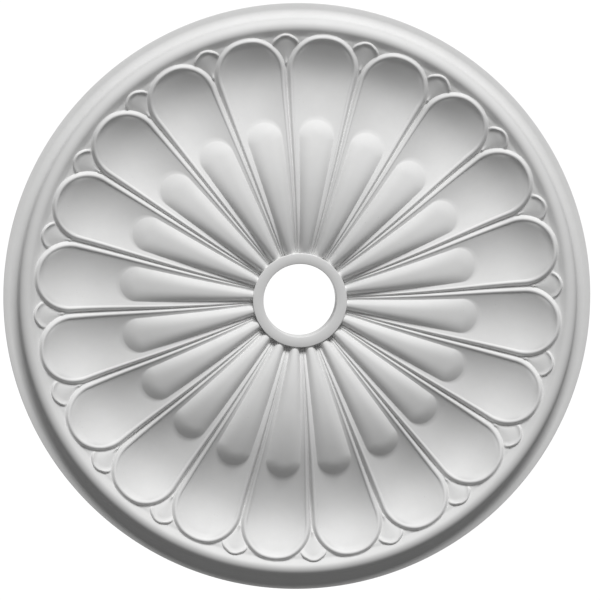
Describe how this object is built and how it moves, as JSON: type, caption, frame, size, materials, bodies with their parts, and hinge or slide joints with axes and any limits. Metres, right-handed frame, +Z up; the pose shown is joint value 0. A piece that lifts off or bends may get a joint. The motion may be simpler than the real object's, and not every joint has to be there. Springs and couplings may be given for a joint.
{
  "type": "ceiling rose",
  "caption": "Round moulded ceiling rose with radiating scooped flutes, convex inner petals, a rolled rim and a plain ring round a central hole for a light fitting's cable and canopy.",
  "frame": {"origin": "centre of the flat back, on the ceiling plane", "axes": "+Z up into the ceiling, along the axis of the hole; the carved face looks down, along -Z; the middle of one flute lies along +X and of another along +Y"},
  "size_m": [0.6799, 0.68, 0.038],
  "materials": {
    "moulding": "moulded high-density foam, factory primed matt white"
  },
  "bodies": {
    "root": {"ceiling_rose": "moulding"}
  },
  "joints": []
}
